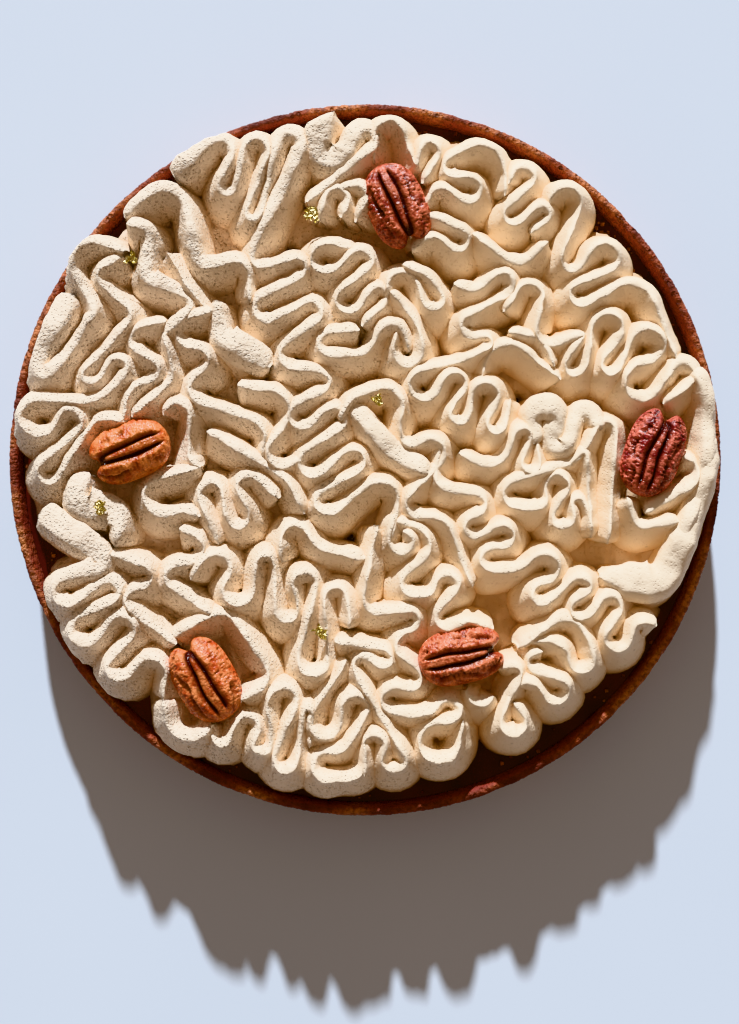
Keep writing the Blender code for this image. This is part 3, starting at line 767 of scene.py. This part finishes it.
def filling_pool(surface):
    """The filling's top, slightly rippled, which rises a little where it meets the shell."""
    reach = TART_RADIUS - WALL - 0.1
    points = []
    for ring in range(POOL_RINGS + 1):
        radius = reach * (0.80 + 0.20 * ring / POOL_RINGS) if ring else 0.0
        for step in range(POOL_STEPS):
            angle = 2 * math.pi * step / POOL_STEPS
            place = Vector((radius * math.cos(angle), radius * math.sin(angle), 0))
            near_wall = max(0.0, (radius - reach + MENISCUS_WIDTH) / MENISCUS_WIDTH)
            ripple = POOL_RIPPLE * rough(place, 16.0, 2)
            height = FILLING_TOP - POOL_DROP + ripple + MENISCUS * near_wall ** 2
            points.append((place.x, place.y, min(FILLING_TOP, height)))
    faces = strip_faces(POOL_RINGS + 1, POOL_STEPS, round_columns=True)
    piece = mesh_piece("filling_pool", points, faces, surface, "filling")
    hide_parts("filling")
    return piece


def crumbs(surface):
    """Loose crumbs of crust on the filling and against the wall."""
    draw = random.Random(CRUMB_SEED)
    points, faces = [], []
    for _ in range(CRUMB_COUNT):
        angle = draw.uniform(0, 2 * math.pi)
        radius = TART_RADIUS - WALL - draw.uniform(*CRUMB_STRIP)
        size = draw.uniform(*CRUMB_SIZES)
        start = len(points)
        for corner in range(8):
            over, along, up = (2 * (corner >> bit & 1) - 1 for bit in range(3))
            points.append((
                radius * math.cos(angle) + over * size * draw.uniform(0.5, 1.0),
                radius * math.sin(angle) + along * size * draw.uniform(0.5, 1.0),
                FILLING_TOP + size * (0.5 + up * draw.uniform(0.5, 1.0)),
            ))
        for quad in BOX_FACES:
            faces.append(tuple(start + corner for corner in quad))
    return mesh_piece("crust_crumbs", points, faces, surface, "crust", rounded=False)


# ---------------------------------------------------------------- gold leaf

def gold_leaf(surface):
    """Torn scraps of leaf, crumpled and standing a little proud of the cream."""
    draw = random.Random(GOLD_SEED)
    points, faces = [], []
    for x, y, reach in GOLD_FLECKS:
        for _ in range(SCRAPS):
            start = len(points)
            turn = draw.uniform(0, math.pi)
            middle = Vector((
                x + draw.uniform(-0.4, 0.4) * reach, y + draw.uniform(-0.4, 0.4) * reach, 0))
            long_side, short_side = reach * draw.uniform(0.4, 0.8), reach * draw.uniform(0.2, 0.4)
            for row in range(SCRAP_ROWS):
                for column in range(SCRAP_COLUMNS):
                    u = 2 * row / (SCRAP_ROWS - 1) - 1
                    v = 2 * column / (SCRAP_COLUMNS - 1) - 1
                    along, over = u * long_side, v * (1 - 0.75 * u * u) * short_side
                    place = middle + Vector((
                        along * math.cos(turn) - over * math.sin(turn),
                        along * math.sin(turn) + over * math.cos(turn), 0))
                    crumple = noise.noise_vector(place / 0.7) * 0.8
                    lift = RIDGE_TOP + 0.5 + abs(crumple.z) * 1.6
                    points.append((place.x + crumple.x, place.y + crumple.y, lift))
            faces += strip_faces(SCRAP_ROWS, SCRAP_COLUMNS, start)
    return mesh_piece("gold_leaf", points, faces, surface, "cream", rounded=False)


# ---------------------------------------------------------------- material nodes

def fill_socket(tree, socket, value):
    """Links the socket to another one, or sets its value."""
    if isinstance(value, bpy.types.NodeSocket):
        tree.links.new(value, socket)
    else:
        socket.default_value = value


def add(tree, kind, values=None, **settings):
    """A node with its settings, and its inputs set or linked."""
    made = tree.nodes.new(kind)
    for name, value in settings.items():
        setattr(made, name, value)
    for name, value in (values or {}).items():
        fill_socket(tree, made.inputs[name], value)
    return made


def sum_of(tree, operation, first, second=0.0, clamp=False):
    """A sum on two values, such as ADD or MULTIPLY."""
    made = add(tree, "ShaderNodeMath", {0: first, 1: second}, operation=operation, use_clamp=clamp)
    return made.outputs[0]


def noise_of(tree, place, scale, detail):
    """Cloudy noise between 0 and 1."""
    made = add(tree, "ShaderNodeTexNoise", {"Vector": place, "Scale": scale, "Detail": detail})
    return made.outputs["Fac"]


def spread_to(tree, value, start, end, first, last):
    """A value that goes from first to last as another goes from start to end."""
    made = add(tree, "ShaderNodeMapRange", {"Value": value, 1: start, 2: end, 3: first, 4: last})
    return made.outputs[0]


def ramp(tree, factor, stops):
    """Colours along a factor, as (factor, colour)."""
    made = add(tree, "ShaderNodeValToRGB", {"Fac": factor})
    elements = made.color_ramp.elements
    while len(elements) < len(stops):
        elements.new(0.5)
    for element, (place, colour) in zip(elements, stops):
        element.position = place
        element.color = (*colour, 1.0)
    return made.outputs["Color"]


def mixed(tree, factor, first, second):
    """The first colour where the factor is 0, the second where it is 1."""
    made = add(tree, "ShaderNodeMix", data_type="RGBA", blend_type="MIX")
    fill_socket(tree, made.inputs[0], factor)
    fill_socket(tree, made.inputs[6], first)
    fill_socket(tree, made.inputs[7], (*second, 1.0))
    return made.outputs[2]


def position(tree):
    return add(tree, "ShaderNodeTexCoord").outputs["Object"]


def layer_of(tree, name):
    """A float layer of the mesh, such as how high on its ribbon a point lies."""
    return add(tree, "ShaderNodeAttribute", attribute_name=name).outputs["Fac"]


# ---------------------------------------------------------------- shared effects

def new_group(name, inputs, outputs):
    group = bpy.data.node_groups.new(name, "ShaderNodeTree")
    for label, value in inputs.items():
        socket = group.interface.new_socket(label, in_out="INPUT", socket_type="NodeSocketFloat")
        socket.default_value = value
    for label in outputs:
        group.interface.new_socket(label, in_out="OUTPUT", socket_type="NodeSocketFloat")
    given = group.nodes.new("NodeGroupInput").outputs
    return group, given, group.nodes.new("NodeGroupOutput").inputs


def make_grain():
    """Coarse lumps, fine grain and small pits, as one height."""
    group, given, out = new_group(
        "food_grain", {"Lump Scale": 300.0, "Grain Scale": 1200.0, "Pits": 0.3},
        ("Height", "Pit Mask"))
    place = position(group)
    lumps = noise_of(group, place, given["Lump Scale"], 2.0)
    grain = noise_of(group, place, given["Grain Scale"], 2.0)
    cells = add(group, "ShaderNodeTexVoronoi", {"Vector": place, "Scale": given["Lump Scale"]})
    near = spread_to(group, cells.outputs["Distance"], 0.05, 0.32, 1.0, 0.0)
    pits = sum_of(group, "MULTIPLY", near, given["Pits"])
    height = sum_of(group, "ADD", lumps, sum_of(group, "MULTIPLY", grain, 0.4))
    height = sum_of(group, "SUBTRACT", height, pits)
    group.links.new(height, out["Height"])
    group.links.new(pits, out["Pit Mask"])
    return group


def make_specks():
    """Scattered small round specks of uneven size: 1 on a speck."""
    group, given, out = new_group(
        "food_specks", {"Scale": 500.0, "Size": 0.2, "Share": 0.3}, ("Mask",))
    cells = add(
        group, "ShaderNodeTexVoronoi", {"Vector": position(group), "Scale": given["Scale"]})
    pick = add(group, "ShaderNodeSeparateColor", {"Color": cells.outputs["Color"]})
    chosen = sum_of(group, "LESS_THAN", pick.outputs["Red"], given["Share"])
    size = sum_of(group, "MULTIPLY", pick.outputs["Green"], given["Size"])
    inside = sum_of(group, "LESS_THAN", cells.outputs["Distance"], size)
    group.links.new(sum_of(group, "MULTIPLY", chosen, inside), out["Mask"])
    return group


def placed(tree, group, **values):
    """A shared effect with this material's own values."""
    made = add(tree, "ShaderNodeGroup", node_tree=group)
    for name, value in values.items():
        made.inputs[name.replace("_", " ")].default_value = value
    return made.outputs


# ---------------------------------------------------------------- finishes

def shader_of(name):
    made = bpy.data.materials.new(name)
    made.use_nodes = True
    return made, made.node_tree, made.node_tree.nodes["Principled BSDF"]


def finish(tree, shader, colour, roughness, height, strength, depth):
    """Wires a finish: its colour, its roughness, and a relief of the given depth in metres."""
    tree.links.new(colour, shader.inputs["Base Color"])
    tree.links.new(roughness, shader.inputs["Roughness"])
    relief = add(
        tree, "ShaderNodeBump", {"Height": height, "Strength": strength, "Distance": depth})
    tree.links.new(relief.outputs[0], shader.inputs["Normal"])


def cream_surface(grain_group, specks_group):
    """Smooth cream that turns dry, pale and pitted towards the west side, with painted shade low
    on each ribbon and in the pits.
    """
    made, tree, shader = shader_of("coffee_cream")
    place = position(tree)
    east = add(tree, "ShaderNodeSeparateXYZ", {"Vector": place}).outputs["X"]
    west = spread_to(tree, east, -0.07, 0.035, 1.0, 0.12)
    patches = spread_to(tree, noise_of(tree, place, 55.0, 2.0), 0.35, 0.65, 0.35, 1.0)
    dry = sum_of(tree, "MULTIPLY", west, patches)
    grain = placed(tree, grain_group, Lump_Scale=430.0, Grain_Scale=1700.0, Pits=0.35)
    pores = placed(tree, grain_group, Lump_Scale=950.0, Grain_Scale=2600.0, Pits=1.0)
    # Painted shade: the cream is darker and browner the lower a point lies on its ribbon, and
    # palest on the crest.
    shade = ramp(tree, layer_of(tree, "ridge"), (
        (0.0, (0.33, 0.14, 0.06)), (0.30, (0.90, 0.63, 0.38)), (0.55, (0.95, 0.73, 0.49)),
        (0.90, (0.96, 0.77, 0.56)), (1.0, (0.97, 0.81, 0.62)),
    ))
    fine = placed(tree, specks_group, Scale=620.0, Size=0.32, Share=0.14)["Mask"]
    large = placed(tree, specks_group, Scale=260.0, Size=0.20, Share=0.14)["Mask"]
    coffee = sum_of(tree, "MULTIPLY", sum_of(tree, "MAXIMUM", fine, large), 0.24)
    colour = mixed(tree, coffee, shade, (0.25, 0.12, 0.05))
    colour = mixed(tree, sum_of(tree, "MULTIPLY", west, 0.5), colour, (1.0, 0.83, 0.68))
    # Painted shade: the small pits in the dry cream are coloured darker brown.
    painted_pit_shade = sum_of(tree, "MULTIPLY", sum_of(tree, "MULTIPLY", pores["Pit Mask"], dry), 0.16)
    colour = mixed(tree, painted_pit_shade, colour, (0.48, 0.31, 0.20))
    pitted = sum_of(tree, "SUBTRACT", pores["Height"], pores["Pit Mask"])
    rise = sum_of(tree, "MULTIPLY", sum_of(tree, "MULTIPLY", pitted, dry), 1.5)
    rise = sum_of(tree, "ADD", sum_of(tree, "MULTIPLY", grain["Height"], 0.3), rise)
    roughness = spread_to(tree, grain["Height"], 0.3, 1.0, 0.56, 0.68)
    finish(tree, shader, colour, roughness, rise, 0.8, 0.0009)
    return made


def crust_surface(grain_group, specks_group):
    """Grainy dark shortcrust, browner in patches, and redder and darker inside the wall, where the
    darkness is painted shade.
    """
    made, tree, shader = shader_of("baked_crust")
    place = position(tree)
    grain = placed(tree, grain_group, Lump_Scale=420.0, Grain_Scale=1600.0, Pits=0.5)
    browning = noise_of(tree, place, 60.0, 3.0)
    colour = ramp(tree, browning, (
        (0.33, (0.12, 0.022, 0.012)), (0.48, (0.31, 0.068, 0.027)), (0.66, (0.60, 0.22, 0.082)),
    ))
    baked = spread_to(tree, noise_of(tree, place, 700.0, 3.0), 0.42, 0.6, 0.0, 0.65)
    colour = mixed(tree, baked, colour, (0.10, 0.022, 0.012))
    # Painted shade: the inside of the wall, between rim and filling, is coloured a darker red.
    inside = sum_of(tree, "MULTIPLY", layer_of(tree, "inside"), 0.7)
    colour = mixed(tree, inside, colour, (0.24, 0.034, 0.024))
    flecks = placed(tree, specks_group, Scale=520.0, Size=0.45, Share=0.5)["Mask"]
    colour = mixed(tree, sum_of(tree, "MULTIPLY", flecks, 0.5), colour, (0.13, 0.03, 0.012))
    roughness = spread_to(tree, browning, 0.35, 0.65, 0.80, 0.68)
    finish(tree, shader, colour, roughness, grain["Height"], 1.0, 0.0018)
    return made


def filling_surface(grain_group):
    """Glossy dark filling, redder in patches."""
    made, tree, shader = shader_of("chocolate_filling")
    grain = placed(tree, grain_group, Lump_Scale=150.0, Grain_Scale=900.0, Pits=0.05)
    patch = noise_of(tree, position(tree), 45.0, 3.0)
    colour = ramp(tree, patch, ((0.35, (0.026, 0.004, 0.004)), (0.7, (0.12, 0.018, 0.014))))
    roughness = spread_to(tree, patch, 0.35, 0.7, 0.18, 0.27)
    finish(tree, shader, colour, roughness, grain["Height"], 0.35, 0.0008)
    return made


def pecan_surface(name, dark, grain_group):
    """A nut's skin, from golden brown to dark red brown, with painted shade nearly black in its
    furrows and creases.
    """
    made, tree, shader = shader_of(name + "_skin")
    place = position(tree)
    low = [a + (b - a) * dark for a, b in zip((0.55, 0.095, 0.026), (0.27, 0.028, 0.027))]
    high = [a + (b - a) * dark for a, b in zip((0.98, 0.35, 0.125), (0.90, 0.24, 0.16))]
    streak = sum_of(tree, "MULTIPLY", noise_of(tree, place, 1100.0, 2.0), 0.5)
    mottle = sum_of(tree, "ADD", noise_of(tree, place, 260.0, 4.0), streak)
    # Painted shade: the skin goes nearly black as deep as the furrows and creases lie.
    depth = sum_of(tree, "MULTIPLY", layer_of(tree, "groove"), 3.6, clamp=True)
    colour = ramp(tree, mottle, ((0.62, low), (0.88, high)))
    colour = mixed(tree, depth, colour, (0.055, 0.006, 0.004))
    grain = placed(tree, grain_group, Lump_Scale=520.0, Grain_Scale=1900.0, Pits=0.2)
    roughness = spread_to(tree, mottle, 0.62, 0.88, 0.27, 0.20)
    finish(tree, shader, colour, roughness, grain["Height"], 0.8, 0.0009)
    return made


def gold_surface():
    """Thin creased gold, coloured darker in its low creases as painted shade and brighter on its
    raised ones as painted glints.
    """
    made, tree, shader = shader_of("gold_foil")
    crease = noise_of(tree, position(tree), 900.0, 3.0)
    # Painted shade and painted glints: darker gold in the low creases, bright gold on the raised
    # ones.
    colour = ramp(tree, crease, ((0.35, (0.60, 0.47, 0.13)), (0.62, (1.0, 0.88, 0.50))))
    shader.inputs["Metallic"].default_value = 1.0
    roughness = spread_to(tree, crease, 0.35, 0.62, 0.34, 0.22)
    finish(tree, shader, colour, roughness, crease, 0.6, 0.0005)
    return made


def tabletop_surface():
    """A plain pale tabletop, a little cloudy."""
    made, tree, shader = shader_of("pale_tabletop")
    cloud = noise_of(tree, position(tree), 6.0, 2.0)
    colour = ramp(tree, cloud, ((0.3, (0.68, 0.75, 0.86)), (0.7, (0.72, 0.79, 0.90))))
    roughness = spread_to(tree, cloud, 0.3, 0.7, 0.77, 0.83)
    finish(tree, shader, colour, roughness, cloud, 0.05, 0.001)
    return made


# ---------------------------------------------------------------- stage

def tabletop():
    mesh = bpy.data.meshes.new("tabletop")
    reach = FLOOR_REACH
    corners = ((-reach, -reach, 0), (reach, -reach, 0), (reach, reach, 0), (-reach, reach, 0))
    mesh.from_pydata(corners, [], [(0, 1, 2, 3)])
    mesh.materials.append(tabletop_surface())
    floor = bpy.data.objects.new("tabletop", mesh)
    bpy.context.scene.collection.objects.link(floor)


def window_light():
    """Low sun from behind the tart, and a warm fill from all round."""
    sun = bpy.data.lights.new("window_light", "SUN")
    sun.energy = SUN_STRENGTH
    sun.color = SUN_COLOUR
    sun.angle = math.radians(SUN_ANGLE)
    lamp = bpy.data.objects.new("window_light", sun)
    elevation, drift = math.radians(SUN_ELEVATION), math.radians(SUN_DRIFT)
    beam = Vector((
        math.sin(drift) * math.cos(elevation),
        -math.cos(drift) * math.cos(elevation),
        -math.sin(elevation),
    ))
    lamp.rotation_euler = beam.to_track_quat("-Z", "Y").to_euler()
    bpy.context.scene.collection.objects.link(lamp)

    world = bpy.data.worlds.new("studio_fill")
    world.use_nodes = True
    fill = world.node_tree.nodes["Background"].inputs
    fill["Color"].default_value = FILL_COLOUR
    fill["Strength"].default_value = FILL_STRENGTH
    bpy.context.scene.world = world


def camera():
    """Looks straight down on the tart."""
    data = bpy.data.cameras.new("camera")
    data.sensor_width = SENSOR_WIDTH
    data.lens = LENS
    made = bpy.data.objects.new("camera", data)
    made.location = CAMERA_PLACE
    bpy.context.scene.collection.objects.link(made)
    bpy.context.scene.camera = made


def main():
    noise.seed_set(NOISE_SEED)
    bpy.context.scene.view_settings.view_transform = "Khronos PBR Neutral"
    grain, specks = make_grain(), make_specks()
    crust = crust_surface(grain, specks)
    shell(crust)
    crumbs(crust)
    filling_pool(filling_surface(grain))
    cream = cream_surface(grain, specks)
    piped_cream(cream)
    cream_bed(cream)
    gold_leaf(gold_surface())
    for name, (*_, dark) in PECANS.items():
        half_nut(name, pecan_surface(name, dark, grain))
    tabletop()
    window_light()
    camera()


main()
